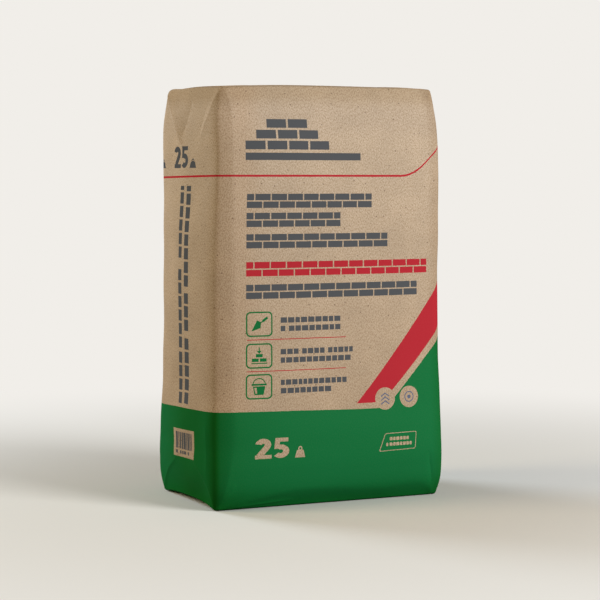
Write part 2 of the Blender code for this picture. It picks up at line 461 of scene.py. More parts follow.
def tubeAt(u, v):
    # The filled tube without its small relief: a section of four swollen panels and soft corners.
    front, back, across = panelAt(u)
    faceOn = front | back
    width, depth, corner, frontSwell, sideSwell, slump = sectionAt(v)
    endDistance = np.minimum(v, sackHeight - v)
    facet = smooth(1 - endDistance / sack["facetReach"])
    # The front's corner on the +X side is tighter: its panel lies flat nearly to the fold.
    narrowed = sack["farCornerPull"] * (1 - sack["farCornerShare"]) * corner
    width = width - narrowed * np.where(u > 0, 1 - after(u, (frontFold, sideMiddle - frontFold)), 0.0)
    corner = corner * np.where((u > 0) & (u < sideMiddle), sack["farCornerShare"], 1.0)

    def faceCorner(share, column):
        soft, end, far = [np.interp(share, cornerTables[name][0], cornerTables[name][column])
                          for name in ("frontCorner", "frontCornerAtEnd", "farCorner")]
        return np.where((u > 0) & ~back, far, soft + (end - soft) * facet)

    def sideCorner(share, column):
        return np.interp(share, cornerTables["sideCorner"][0], cornerTables["sideCorner"][column])

    # Beside a fold a panel drops back and runs on. It is flat as far as the other panel's drop and its
    # own run leave room for.
    fold = np.zeros_like(v)
    faceDrop, faceRun = corner * faceCorner(fold, dropColumn), corner * faceCorner(fold, runColumn)
    sideDrop, sideRun = corner * sideCorner(fold, dropColumn), corner * sideCorner(fold, runColumn)
    flat = np.where(faceOn, width / 2 - sideDrop - faceRun, depth / 2 - faceDrop - sideRun)
    paper = np.abs(across) * (flat + corner)
    share = unit((flat + corner - paper) / corner)
    drop, run = [corner * np.where(faceOn, faceCorner(share, column), sideCorner(share, column))
                 for column in (dropColumn, runColumn)]
    along = np.where(paper > flat, flat + run, paper)
    out = np.where(faceOn, depth, width) / 2 - np.where(paper > flat, drop, 0.0)
    # The panels swell. Near an end a side panel is flat between the arms of its V, and falls away from
    # them to the corners.
    frontArm, backArm, ear = earAt(v)
    beyond = np.maximum((frontArm - np.abs(u)) / np.maximum(frontArm - frontFold, 2.0),
                        (np.abs(u) - backArm) / np.maximum(backFold - backArm, 2.0))
    beyond = unit(beyond)
    creased = 1 - sack["armCrease"] * beyond - (1 - sack["armCrease"]) * beyond**2
    sideHump = 1 - np.abs(across) ** sack["sidePower"]
    sideHump = sideHump + (creased - sideHump) * smooth((ear + sack["armFade"]) / sack["armFade"])
    frontHump = 1 - np.abs(across) ** sack["frontPower"]
    out = out + np.where(faceOn, frontSwell * frontHump, sideSwell * sideHump)
    # The rolled edge at each end.
    roll = unit(1 - endDistance / sack["edgeRound"])
    inset = sack["edgeRound"] * (1 - np.sqrt(unit(1 - roll**2)))
    out = out - inset
    along = along * (1 - inset / np.where(faceOn, width / 2, depth / 2)) * np.sign(across)
    x = np.select([front, back], [along, -along], np.sign(u) * out)
    y = np.select([front, back], [-out, out], np.sign(u) * along)
    x = x * (1 + sack["backWider"] / frontFold * after(v, sack["backWiderSpan"]) * y / (depth / 2))
    rise = sack["foot"] + v * (solidTop - sack["foot"]) / sackHeight
    fromFold = np.minimum(np.abs(np.abs(u) - frontFold), np.abs(np.abs(u) - backFold))
    sunk = np.interp(u, (-backFold, -frontFold, frontFold, backFold), sack["cornerDrop"])
    rise -= sunk * (1 - smooth(fromFold / sack["cornerDropReach"])) * after(v, sack["cornerDropSpan"])
    rise += topLiftAt(x + slump, y) * after(v, sack["topLiftSpan"])
    footLift = footLiftAt(-np.sign(u) * across) * (1 - smooth(v / sack["footLiftHeight"]))
    rise += np.where(faceOn, 0.0, footLift)
    return np.stack([x + slump, y, rise], axis=-1)


# Creases pressed into the paper: points on the flat sheet, how worn the fold is, its height in
# millimetres (a groove is negative), how far it spreads to the left and to the right of the line, and
# the share of its length over which its far end fades.

def mirrored(points):
    return [(-u, v) for u, v in points]


topFront, topBack = sack["topArms"]
footFront, footBack = sack["footArms"]
nearFade = 0.15  # the near end fades over this share
creases = [
    (mirrored(topFront)[:8], 0.15, 0.6, 12, 8, 0.5),
    (mirrored(topBack)[:8], 0.35, 2.4, 24, 7, 0.25),
    ([(-202.6, 430), (-203.5, 423), (-205.4, 415), (-211, 405), (-216.8, 395.7), (-223.7, 384)],
     0.0, -1.3, 14, 24, 0.3),
    ([(-150, 424), (-158, 413), (-163, 403), (-168, 392), (-176, 380)], 0.5, -0.5, 7, 9, 0.5),
    (mirrored(footBack), 0.45, 0.6, 10, 5, 0.5),
    (mirrored(footFront), 0.15, 0.3, 6, 10, 0.5),
    ([(-145.2, 92), (-144.5, 73.8), (-143.8, 53.1), (-145.7, 32), (-148, 18)], 0.0, 0.35, 7, 6, 0.5),
    ([(-110, 30), (-113.5, 23.3), (-118.3, 16), (-122, 10.7), (-127, 4)], 0.25, 0.5, 5, 5, 0.5),
    ([(-114, 1.6), (-103, 3.4), (-91, 4.6), (-74, 5.6), (-54, 7.2), (-33, 8)], 0.3, 0.7, 3.5, 4, 0.5),
    ([(112, 52), (113.3, 37.7), (116, 26.4), (119, 13), (123, 5)], 0.0, -0.7, 5, 6, 0.5),
    (topFront, 0.9, 0.45, 6, 12, 0.5),
    (topBack, 0.9, 0.5, 12, 6, 0.5),
    ([(203, 437), (207, 421), (206, 408), (214, 396), (217, 384)], 0.0, -0.5, 8, 10, 0.5),
    (footBack, 0.4, 0.5, 10, 5, 0.5),
    (footFront, 0.4, 0.4, 5, 10, 0.5),
]


def creaseRelief(u, v):
    total = np.zeros_like(v)
    for points, _, height, left, right, farFade in creases:
        path = np.array(points, float)
        lengths = np.hypot(*np.diff(path, axis=0).T)
        starts = np.concatenate([[0.0], np.cumsum(lengths)])
        nearest = np.full(v.shape, 99.0)
        side = np.ones_like(v)
        place = np.zeros_like(v)
        for (a, b), length, start in zip(zip(path[:-1], path[1:]), lengths, starts):
            along = (b - a) / length
            t = np.clip((u - a[0]) * along[0] + (v - a[1]) * along[1], 0.0, length)
            du, dv = u - a[0] - t * along[0], v - a[1] - t * along[1]
            distance = np.hypot(du, dv)
            closer = distance < nearest
            nearest = np.where(closer, distance, nearest)
            side = np.where(closer, along[0] * dv - along[1] * du, side)
            place = np.where(closer, (start + t) / starts[-1], place)
        width = np.where(side > 0, left, right)
        flank = unit(1 - nearest / width) ** 2
        total += height * flank * smooth(place / nearFade) * smooth((1 - place) / farFade)
    return total


def reliefAt(u, v):
    # How far the paper stands out from the tube, in millimetres.
    front, back, across = panelAt(u)
    endDistance = np.minimum(v, sackHeight - v)
    aside = across * frontFold
    # The tuck along the foot of the front and back panels.
    arch = np.interp(aside, *np.array(sack["tuckPath"], float).T)
    below = unit((arch - v) / np.maximum(arch, 0.1))
    hollow = np.where(v < arch, -sack["tuckUndercut"] * below * (1 - below), 0.0)
    aboveIt = np.clip(v - arch, 0.0, None) / sack["tuckReach"]
    sharp = np.where(v < arch, 1 - below, np.exp(-aboveIt))
    soft = np.where(v < arch, 1 - below**2, 1 / (1 + aboveIt**2))
    lip = sack["tuckRidge"] * (sharp + (soft - sharp) * after(aside, sack["tuckSoftSpan"]))
    relief = np.where(front | back, (hollow + lip) * smooth(arch / sack["tuckMinimum"]), 0.0)
    # The glued lap up the back, a step on one side only.
    lap = np.where(back, (u % (2 * halfGirth)) - sack["seamAt"], -99.0)
    edge = sack["seamEdge"]
    relief += sack["seamLap"] * smooth(lap / edge) * (1 - after(lap, (edge, sack["seamWidth"])))
    relief += creaseRelief(u, v)
    for height, wavelength, count, seed, fade in sack["ripples"]:
        relief += height * rippleAt(u, v, seed, wavelength, count) * smooth(endDistance / fade)
    return relief


def roundTube(u):
    # A distance round the tube, brought between minus and plus half of its girth.
    return (u + halfGirth) % (2 * halfGirth) - halfGirth


def sackSurface(u, v):
    # Where a point of the flat tube lies on the filled sack, in millimetres. u runs round the tube from
    # the middle of the front panel, v up it from the base.
    def at(du, dv):
        return tubeAt(roundTube(u + du), np.clip(v + dv, 0.0, sackHeight))

    probe = 0.6
    outward = np.cross(at(probe, 0) - at(-probe, 0), at(0, probe) - at(0, -probe))
    outward /= np.maximum(np.linalg.norm(outward, axis=-1, keepdims=True), 1e-9)
    return at(0, 0) + outward * reliefAt(roundTube(u), v)[..., None]


# The print, in millimetres on the flat sheet: u from the middle of the front panel, v from the base.
# Each shape is (ink, outline), and a later shape covers an earlier one. "bare" is unprinted kraft.

printing = {
    # The green field's upper edge round the sheet, and the wedge that climbs from it: start, height, slope.
    "fieldTop": [(-420, 99), (-290, 97.6), (-263.6, 98.6), (-225, 100.8), (-181.7, 102.4),
                 (-131.6, 103.8), (-106, 104.2), (-41, 103.1), (27, 101.2), (60, 101.1),
                 (290, 101.6), (420, 99)],
    "wedge": (59.3, 101.1, 1.03),
    "stripeStart": (24.2, 107.3),  # the red stripe's point
    "stripeUpper": (1.07, 0.0012, 100),  # its upper edge: rise, bend, and how far along it bends
    "stripeLower": [(55, 107.3), (71.4, 123.9), (95.8, 148.4), (110, 163.5), (124, 179.3),
                    (210, 276)],
    "line": [(-420, 347.2), (-290, 346.4), (-130, 348)],  # the thin line's height round the left
    "lineBend": (79, 111, 0.9),  # it leaves the level here, is straight from here, with this slope
    "lineCorner": 134,  # it turns towards the gable here, past the fold
    "lineGable": 428,  # its height there
    "lineWide": 2.1,
    "wall": (-101.8, 375.2, 22, 9, 2.2),  # left, foot, brick length and height, joint
    "wallCourses": (4, 3, 2),
    "wallBar": (-101.8, 364.2, 30, 371.8),
    "bandLeft": -99.8,
    "bands": [  # bands of bricks on the front: right end, foot, height, ink
        (42.6, 314.8, 14.6, "grey"), (5.2, 295.2, 14.6, "grey"), (62, 273.2, 14.6, "grey"),
        (112, 244.2, 14.8, "red"), (99.4, 220.8, 14.8, "grey"),
    ],
    "bandBrick": (17, 1.3),  # length and joint
    "frames": [(-100, 181.6), (-100.2, 148.7), (-100.4, 116.8)],
    "frameSize": (28.6, 26),
    "frameLine": 1.5,
    "frameRounds": (4.6, 3.3),  # its corners' radii, outside and inside
    "wordBricks": (4, 4.8, 5.6),  # lengths to draw from for the small rows
    "wordGaps": (1.2, 4),  # between bricks, and between groups of them
    "wordHeight": 5.6,
    "labelLeft": -62.5,
    "labelLifts": (13.8, 5),  # of a frame's two rows of bars
    "labels": [  # each row's groups of bars, right end and seed
        (((9,), 5.4, 179), ((1, 8), 5.4, 180)),
        (((3, 4, 5), 20.4, 146), ((11,), 17.8, 147)),
        (((12,), 12.6, 114), ((8,), -5.6, 115)),
    ],
    "rules": [178.4, 145.6],
    "rule": (-99, 12, 0.8),  # left, right, thickness
    "discs": [(58, 110.8, 11.9), (87.4, 111.4, 11.5)],
    "signShares": (0.78, 1.15),  # a sign's size to its frame's height, and to its disc's radius
    # The filling weight's figures and its sign: shift, foot, size, and how much wider than drawn.
    "greenWeight": ((0, 54.6, 21.2, 1.32), (43.2, 54, 12, 1)),
    "greenWeightsAt": (-90.2, -392),
    "sideWeight": ((0, 0, 23, 1.36), (46.4, 0, 9.8, 1.85)),
    "sideWeightsAt": {"left": ((-32.4, 356.4), (-126.2, 356.4)), "right": ((-32.4, 352),)},
    "badge": ([(49.6, 54.3), (93.8, 55.2), (95.4, 74), (56.8, 73.7)], 2.2),
    "badgeInner": ([(50.8, 55), (93.1, 55.9), (94.7, 73.3), (57.3, 73)], 1.7),
    "badgeBars": [
        (62.4, 65.6, (3.4, 3, 3.8, 3.2, 3.4, 3)),
        (58.2, 59.6, (2.4,)),
        (62.2, 59.8, (3.6, 3, 3.8, 3.2, 3.2, 3.2, 2.8)),
    ],
    "badgeBar": (3.7, 0.7, 0.8),  # height, gap, radius of its corners
    "columns": [  # on the -X side: place from its middle, width, (foot, length) of parts
        (-6.4, 9.9, ((105.5, 56), (165, 88), (261, 76.5))),
        (10.6, 11.6, ((106.5, 72), (184, 40), (231, 106.5))),
    ],
    "columnBrick": (12, 2.4, 3),  # length, joint, and no cut brick is shorter than this
    "columnDrift": (1.5, 220, 60),  # higher up a column drifts this far towards the back
    "patch": (-20.2, 37.3, 47.3, 77.3),  # of stripes on a side panel: left, right, foot, top
    "patchLean": 2.2,  # its right side is this much higher
    "patchMargins": (7, 6),  # left and right of the bars
    "patchBars": ((2.2, 4, 6), (1.2, 1.8)),  # widths and gaps to draw from
    "patchUpper": (8.6, 3.4),  # every bar's distance from foot and top
    "patchLower": (3.2, 6.6),  # a wide bar's lower part, from the foot
    "patchWide": 3,  # a bar wider than this has that part
    "patchSeed": 5,
    "backColumns": ((306, 3), (-410, 4)),  # left and seed
    "backWords": ((3, 6, 4), (5, 2, 6), (7, 6), (4, 4, 5)),
    "backRows": (9, 326, 9.4, 4.4),  # number, first one's foot, pitch, height
    "backLengths": (104, 104, 104, 104, 62),
}


def box(x0, y0, x1, y1):
    return [(x0, y0), (x1, y0), (x1, y1), (x0, y1)]


def arc(cx, cy, radius, first, last, steps):
    # Points round a circle, from one angle to another in degrees.
    angles = [math.radians(first + (last - first) * i / steps) for i in range(steps + 1)]
    return [(cx + radius * math.cos(a), cy + radius * math.sin(a)) for a in angles]


def disc(cx, cy, radius, steps=28):
    return arc(cx, cy, radius, 0, 360, steps)[:-1]


def arcBand(cx, cy, inner, outer, first, last, steps=14):
    # Part of a ring, from one angle to another in degrees.
    return arc(cx, cy, outer, first, last, steps) + arc(cx, cy, inner, first, last, steps)[::-1]


def roundBox(x0, y0, x1, y1, radius, steps=4):
    points = []
    for cx, cy, first in ((x1 - radius, y0 + radius, -90), (x1 - radius, y1 - radius, 0),
                          (x0 + radius, y1 - radius, 90), (x0 + radius, y0 + radius, 180)):
        points += arc(cx, cy, radius, first, first + 90, steps)
    return points


def roundCorners(corners, radius):
    # An anticlockwise polygon with its corners eased.
    points = []
    count = len(corners)
    for i in range(count):
        here = np.array(corners[i], float)
        before = np.array(corners[i - 1], float) - here
        following = np.array(corners[(i + 1) % count], float) - here
        before *= radius / np.hypot(*before)
        following *= radius / np.hypot(*following)
        for t in (0.0, 0.25, 0.5, 0.75, 1.0):
            points.append(tuple(here + (1 - t) ** 2 * before + t**2 * following))
    return points


def bar(start, end, wide):
    # A straight stroke with square ends.
    dx, dy = end[0] - start[0], end[1] - start[1]
    length = math.hypot(dx, dy)
    sx, sy = -dy / length * wide / 2, dx / length * wide / 2
    return [(start[0] - sx, start[1] - sy), (end[0] - sx, end[1] - sy),
            (end[0] + sx, end[1] + sy), (start[0] + sx, start[1] + sy)]


def ribbon(path, wide):
    # A band of even width along a path, measured straight up.
    return [(x, y - wide / 2) for x, y in path] + [(x, y + wide / 2) for x, y in reversed(path)]


def figures():
    # The plain figures 2 and 5 of the filling weight, side by side and 1 high.
    stroke, pitch = 0.25, 0.70
    bowlTwo, bowlFive = 0.31, 0.335
    middle = bowlTwo - stroke / 2
    turn = math.radians(-42)  # where the bowl of the 2 runs into its slant
    tip = (bowlTwo + middle * math.cos(turn) + 0.02, 1 - bowlTwo + middle * math.sin(turn) + 0.02)
    two = [
        arcBand(bowlTwo, 1 - bowlTwo, bowlTwo - stroke, bowlTwo, 168, -48),
        bar(tip, (0.16, 0.14), stroke),
        box(0.0, 0.0, 0.64, 0.185),
    ]
    five = [
        box(0.08, 0.81, 0.58, 1.0),
        [(0.08, 1.0), (0.04, 0.46), (0.235, 0.46), (0.265, 1.0)],
        arcBand(0.29, bowlFive, bowlFive - 0.95 * stroke, bowlFive, -140, 118, 18),
    ]
    return [("ink", outline) for outline in two + [[(x + pitch, y) for x, y in part] for part in five]]


def brickHeap():
    # Two courses of bricks on a base line, and an arrow down to them.
    wide, tall, joint, low = 0.36, 0.17, 0.06, -0.30
    places = ((-0.39, low), (0.03, low), (-0.18, low + tall + joint))
    outlines = [box(x, y, x + wide, y + tall) for x, y in places]
    outlines += [bar((-0.42, -0.38), (0.42, -0.38), 0.05), bar((0.0, 0.22), (0.0, 0.44), 0.06),
                 [(-0.13, 0.26), (0.0, 0.11), (0.13, 0.26)]]
    return [("ink", outline) for outline in outlines]


# Plain signs, drawn at size 1: the weight's from its lower left corner, the others round their middle.

signs = {
    "figures": figures(),
    "ironWeight": [
        ("ink", disc(0.5, 0.80, 0.20, 18)),
        ("ground", disc(0.5, 0.80, 0.09, 12)),
        ("ink", [(0.02, 0.0), (0.98, 0.0), (0.80, 0.66), (0.20, 0.66)]),
    ],
    "trowel": [
        ("ink", [(-0.42, -0.36), (0.06, -0.20), (0.10, 0.10), (-0.12, 0.20)]),
        ("ink", bar((0.02, 0.04), (0.20, 0.16), 0.06)),
        ("ink", bar((0.18, 0.15), (0.44, 0.34), 0.13)),
    ],
    "bricks": brickHeap(),
    "bucket": [
        ("ink", arcBand(0.0, 0.10, 0.30, 0.35, 8, 172, 12)),
        ("ink", box(-0.40, 0.06, 0.40, 0.15)),
        ("ink", [(-0.33, 0.02), (-0.24, -0.42), (0.24, -0.42), (0.33, 0.02)]),
        ("ground", [(-0.26, -0.05), (-0.19, -0.35), (-0.10, -0.35), (-0.14, -0.05)]),
    ],
    "chevrons": [("ink", bar((side * 0.36, lift - 0.14), (-side * 0.03, lift + 0.14), 0.085))
                 for lift in (-0.30, 0.0, 0.30) for side in (-1, 1)],
    "rings": [("ink", disc(0, 0, 0.44)), ("ground", disc(0, 0, 0.36)), ("ink", disc(0, 0, 0.16, 16))],
}


def placed(name, x, y, size, ink, ground="bare", squeeze=1.0):
    # A sign at its place, size and inks. squeeze widens it, for a panel that is seen aslant.
    tones = {"ink": ink, "ground": ground}
    return [(tones[part], [(x + px * size * squeeze, y + py * size) for px, py in outline])
            for part, outline in signs[name]]


def laid(start, lengths, gap):
    # Where bars laid one after another begin and end.
    for length in lengths:
        yield start, start + length
        start += length + gap


def brickCourse(x0, x1, y0, height, brick, joint, ink, firstBrick=None):
    # One course of bricks, whose upright joints follow from its first brick's length.
    lengths = [firstBrick or brick] + [brick] * int((x1 - x0) / brick)
    return [(ink, box(left, y0, min(right, x1), y0 + height))
            for left, right in laid(x0, lengths, joint) if left < x1 - 1.0]


def brickBand(x0, x1, y0, height, ink):
    # Two courses in running bond, whose bricks are cut to fill the length.
    brick, joint = printing["bandBrick"]
    course = (height - joint) / 2
    brick = (x1 - x0 + joint) / round((x1 - x0 + joint) / (brick + joint)) - joint
    return (brickCourse(x0, x1, y0, course, brick, joint, ink)
            + brickCourse(x0, x1, y0 + course + joint, course, brick, joint, ink, (brick - joint) / 2))


def steppedWall(ink):
    # A short stepped wall in running bond, as the front's plain ornament.
    x0, y0, brick, height, joint = printing["wall"]
    shapes = []
    for row, count in enumerate(printing["wallCourses"]):
        left = x0 + row * (brick + joint) / 2
        right = left + count * (brick + joint) - joint
        shapes += brickCourse(left, right, y0 + row * (height + joint), height, brick, joint, ink)
    return shapes


def blockWords(x0, x1, words, y0, ink, seed, height=printing["wordHeight"]):
    # Little bricks set in a row of this length, a wider joint between groups of them.
    rng = np.random.default_rng(seed)
    joint, space = printing["wordGaps"]
    widths = [rng.choice(printing["wordBricks"], count) for count in words]
    total = sum(float(group.sum()) for group in widths)
    scale = (x1 - x0 - joint * (sum(words) - len(words)) - space * (len(words) - 1)) / total
    shapes = []
    for group in widths:
        places = list(laid(x0, group * scale, joint))
        shapes += [(ink, box(left, y0, right, y0 + height)) for left, right in places]
        x0 = places[-1][1] + space
    return shapes


def smallBars(x0, y0, lengths, ink):
    height, gap, radius = printing["badgeBar"]
    return [(ink, roundBox(left, y0, right, y0 + height, radius, 2))
            for left, right in laid(x0, lengths, gap)]


def framed(x, y, ink):
    wide, tall = printing["frameSize"]
    line = printing["frameLine"]
    outside, inside = printing["frameRounds"]
    return [
        (ink, roundBox(x, y, x + wide, y + tall, outside)),
        ("bare", roundBox(x + line, y + line, x + wide - line, y + tall - line, inside)),
    ]


def brickColumn(x, wide, low, length, ink):
    # Bricks laid end to end up a panel.
    brick, joint, least = printing["columnBrick"]
    drift, *span = printing["columnDrift"]
    shapes = []
    for foot, top in laid(low, [brick] * int(length / brick + 1), joint):
        if foot < low + length - least:
            left = x - drift * float(after(foot, span))
            shapes.append((ink, box(left, foot, left + wide, min(top, low + length))))
    return shapes


def stripes(middle, ink):
    # A plain striped patch, its bars of seeded widths.
    p = printing
    rng = np.random.default_rng(p["patchSeed"])
    x0, x1 = middle + p["patch"][0], middle + p["patch"][1]
    y0, y1 = p["patch"][2:]
    rise = p["patchLean"] / (x1 - x0)

    def leaning(left, right, low, high):
        return [(x, y + rise * (x - x0)) for x, y in box(left, low, right, high)]

    shapes = [("bare", leaning(x0, x1, y0, y1))]
    left = x0 + p["patchMargins"][0]
    widths, gaps = p["patchBars"]
    while left < x1 - p["patchMargins"][1]:
        right = left + float(rng.choice(widths))
        shapes.append((ink, leaning(left, right, y0 + p["patchUpper"][0], y1 - p["patchUpper"][1])))
        if right - left > p["patchWide"]:
            shapes.append((ink, leaning(left, right, *[y0 + lift for lift in p["patchLower"]])))
        left = right + float(rng.choice(gaps))
    return shapes


def diagonals():
    # The green field with its wedge, the tapered red stripe over it and the thin line above. Past the
    # front panel's right fold they climb to a gable, the middle of the side panel, and come down again.
    p = printing

    def overGable(path):
        return path + [(2 * sideMiddle - x, y) for x, y in reversed(path[:-1])]

    start, low, slope = p["wedge"]
    wedge = overGable([(start, low), (sideMiddle, low + (sideMiddle - start) * slope)])
    field = [(-halfGirth, 0.0), (halfGirth, 0.0), p["fieldTop"][-1]] + wedge[::-1]
    field += [point for point in reversed(p["fieldTop"]) if point[0] < start - 5]
    start, foot = p["stripeStart"]
    rise, bend, bendLength = p["stripeUpper"]
    upper = []
    for i in range(13):
        du = (sideMiddle - start) * i / 12
        upper.append((start + du, foot + rise * du + bend * min(du, bendLength) ** 2
                      + 2 * bend * bendLength * max(0.0, du - bendLength)))
    stripe = overGable(upper) + overGable(p["stripeLower"])[::-1]
    level, straight, slope = p["lineBend"]
    height = p["line"][-1][1]
    climb = [(level, height)]
    for i in range(1, 7):
        du = (straight - level) * i / 6
        climb.append((level + du, height + 0.5 * slope * du * du / (straight - level)))
    climb += [(p["lineCorner"], climb[-1][1] + slope * (p["lineCorner"] - straight))]
    climb += [(sideMiddle, p["lineGable"])]
    line = p["line"] + overGable(climb) + [(halfGirth, p["line"][0][1])]
    return [("green", field), ("red", stripe), ("red", ribbon(line, p["lineWide"]))]


def fillingWeight(look, x, ink, ground, lift=0.0):
    # The filling weight in plain figures, and its sign.
    shapes = []
    for sign, (shift, foot, size, squeeze) in zip(("figures", "ironWeight"), look):
        shapes += placed(sign, x + shift, foot + lift, size, ink, ground, squeeze)
    return shapes


def frontPrint():
    p = printing
    frameShare, discShare = p["signShares"]
    shapes = steppedWall("grey") + [("grey", box(*p["wallBar"]))]
    for x1, y0, height, ink in p["bands"]:
        shapes += brickBand(p["bandLeft"], x1, y0, height, ink)
    wide, tall = p["frameSize"]
    for (x, y), sign, rows in zip(p["frames"], ("trowel", "bricks", "bucket"), p["labels"]):
        shapes += framed(x, y, "green")
        shapes += placed(sign, x + wide / 2, y + tall / 2, frameShare * tall, "green")
        for (words, x1, seed), lift in zip(rows, p["labelLifts"]):
            shapes += blockWords(p["labelLeft"], x1, words, y + lift, "grey", seed)
    x0, x1, thick = p["rule"]
    shapes += [("red", box(x0, y - thick / 2, x1, y + thick / 2)) for y in p["rules"]]
    for (cx, cy, radius), sign in zip(p["discs"], ("chevrons", "rings")):
        shapes += [("bare", disc(cx, cy, radius, 36))]
        shapes += placed(sign, cx, cy, discShare * radius, "blueGrey")
    shapes += fillingWeight(p["greenWeight"], p["greenWeightsAt"][0], "bare", "green")
    shapes += [("bare", roundCorners(*p["badge"])), ("green", roundCorners(*p["badgeInner"]))]
    for x0, y0, lengths in p["badgeBars"]:
        shapes += smallBars(x0, y0, lengths, "bare")
    return shapes


def sidePrint(middle):
    # The small marks on a side panel, whose middle is at this paper distance from the front's middle. On
    # the -X side the weight is repeated towards the back, and there are two columns.
    left = middle < 0
    shapes = []
    for shift, lift in printing["sideWeightsAt"]["left" if left else "right"]:
        shapes += fillingWeight(printing["sideWeight"], middle + shift, "grey", "bare", lift)
    for x, wide, parts in printing["columns"] if left else ():
        for low, length in parts:
            shapes += brickColumn(middle + x, wide, low, length, "grey")
    return shapes + stripes(middle, "grey")


def backPrint():
    # Two columns of small bars and the weight, on the panel that faces away.
    p = printing
    count, top, pitch, height = p["backRows"]
    shapes = []
    for start, seed in p["backColumns"]:
        for row in range(count):
            words = p["backWords"][(row + seed) % len(p["backWords"])]
            last = start + p["backLengths"][row % len(p["backLengths"])]
            shapes += blockWords(start, last, words, top - pitch * row, "grey", seed + row, height)
    return shapes + fillingWeight(p["greenWeight"], p["greenWeightsAt"][1], "bare", "green")


def printShapes():
    return diagonals() + frontPrint() + sidePrint(-sideMiddle) + sidePrint(sideMiddle) + backPrint()


# The sheet is meshed flat, with the print's outlines and the folds as edges, and then wrapped round
# the sack.

mesh = {
    "spacing": 2.6,
    "foldHalf": 0.6,  # half the width of a worn fold
    "clearance": 0.75,  # a grid point nearer than this to an outline is left out
    "endRows": (0.0, 0.35, 0.8, 1.3, 1.9, 2.6, 3.4, 4.6),  # the closer rows at each end
    "bendAt": 0.93,  # where in its radius an upright corner bends most, which wears its ends
    "bendWear": 0.35,
    "bendRows": ((sackHeight, 300, 40), (0, 60, 20)),  # from, to and number of points
    "onEdge": 0.01,  # this near to a border a point counts as on it
    "onFold": 0.02,  # and this near to a fold's middle it is worn
}


def foldLines():
    # Lines along which the sheet was folded: (points on the flat sheet, how worn the fold is).
    lines = [(points, wear) for points, wear, *_ in creases]
    for side in (-1, 1):
        for rows in mesh["bendRows"]:
            heights = np.linspace(*rows)
            for fold, way in ((frontFold, -1), (backFold, 1)):
                path = [(side * (fold + way * mesh["bendAt"] * radius), v)
                        for radius, v in zip(sectionAt(heights)[2], heights)]
                lines.append((path, mesh["bendWear"]))
    return lines


def gridRows():
    low = mesh["endRows"]
    last = sackHeight - low[-1] - 0.6 * mesh["spacing"]
    inner = np.arange(low[-1] + mesh["spacing"], last, mesh["spacing"])
    return np.concatenate([low, inner, sackHeight - np.array(low)[::-1]])


def inSteps(path):
    # The same path with a point at least every grid step.
    path = np.array(path, float)
    points = []
    for a, b in zip(path, path[1:]):
        count = max(1, math.ceil(np.hypot(*(b - a)) / mesh["spacing"]))
        points += [a + (b - a) * i / count for i in range(count)]
    return np.array([*points, path[-1]])


def outlineInSteps(outline):
    # A closed outline in steps, anticlockwise, its first point not repeated.
    corners = np.array(outline, float)
    following = np.roll(corners, -1, axis=0)
    if (corners[:, 0] * following[:, 1] - corners[:, 1] * following[:, 0]).sum() < 0:
        corners = corners[::-1]
    return inSteps([*corners, corners[0]])[:-1]


def offsetLine(path, distance):
    along = np.gradient(path, axis=0)
    along /= np.linalg.norm(along, axis=1, keepdims=True)
    return path + distance * np.stack([-along[:, 1], along[:, 0]], axis=-1)


def closeTo(points, path, reach):
    # For each stretch of a path, which points lie nearer to it than this.
    boxed = (points >= path.min(0) - reach) & (points <= path.max(0) + reach)
    near = np.flatnonzero(boxed.all(1))
    for a, b in zip(path, path[1:]):
        along = b - a
        t = unit(((points[near] - a) @ along) / max(along @ along, 1e-9))
        yield near[np.hypot(*(points[near] - a - t[:, None] * along).T) < reach]


def flatSheet(shapes, folds):
    # The sheet in triangles: its points, its faces, each face's ink, and how worn each point is.
    shapes = [(ink, outlineInSteps(outline)) for ink, outline in shapes]
    worn = [(inSteps(path), wear) for path, wear in folds]
    threads = [path for path, _ in worn]
    threads += [offsetLine(path, side * mesh["foldHalf"]) for path, _ in worn for side in (-1, 1)]
    columns = np.linspace(-halfGirth, halfGirth, int(round(2 * halfGirth / mesh["spacing"])) + 1)
    points = np.stack([part.ravel() for part in np.meshgrid(columns, gridRows())], axis=-1)
    keep = np.ones(len(points), bool)
    cleared = [(np.vstack([outline, outline[:1]]), mesh["clearance"]) for _, outline in shapes]
    cleared += [(path, mesh["clearance"] + mesh["foldHalf"]) for path, _ in worn]
    for path, reach in cleared:
        for close in closeTo(points, path, reach):
            keep[close] = False
    u, v = points.T
    onEdge = mesh["onEdge"]
    keep |= (np.abs(u) > halfGirth - onEdge) | (v < onEdge) | (v > sackHeight - onEdge)
    flat = [Vector(p) for p in points[keep]]
    edges = []
    for thread in threads:
        inside = thread[(thread[:, 1] >= 0) & (thread[:, 1] <= sackHeight)]
        first = len(flat)
        flat += [Vector(p) for p in inside]
        edges += [(first + i, first + i + 1) for i in range(len(inside) - 1)]
    outlines = []
    for ink, outline in shapes:
        first = len(flat)
        flat += [Vector(p) for p in outline]
        outlines.append(list(range(first, len(flat))))
    found, _, faces, _, _, within = delaunay_2d_cdt(flat, edges, outlines, 0, 1e-4, True)
    found = np.array([tuple(p) for p in found])
    inks = [shapes[max(w)][0] if w else "bare" for w in within]
    fold = np.zeros(len(found))
    for path, wear in worn:
        for i, close in enumerate(closeTo(found, path, mesh["onFold"])):
            fading = float(smooth(2.0 * (1 - i / len(path))))  # the worn line fades towards its far end
            fold[close] = np.maximum(fold[close], wear * fading)
    return found, np.array(faces), inks, fold


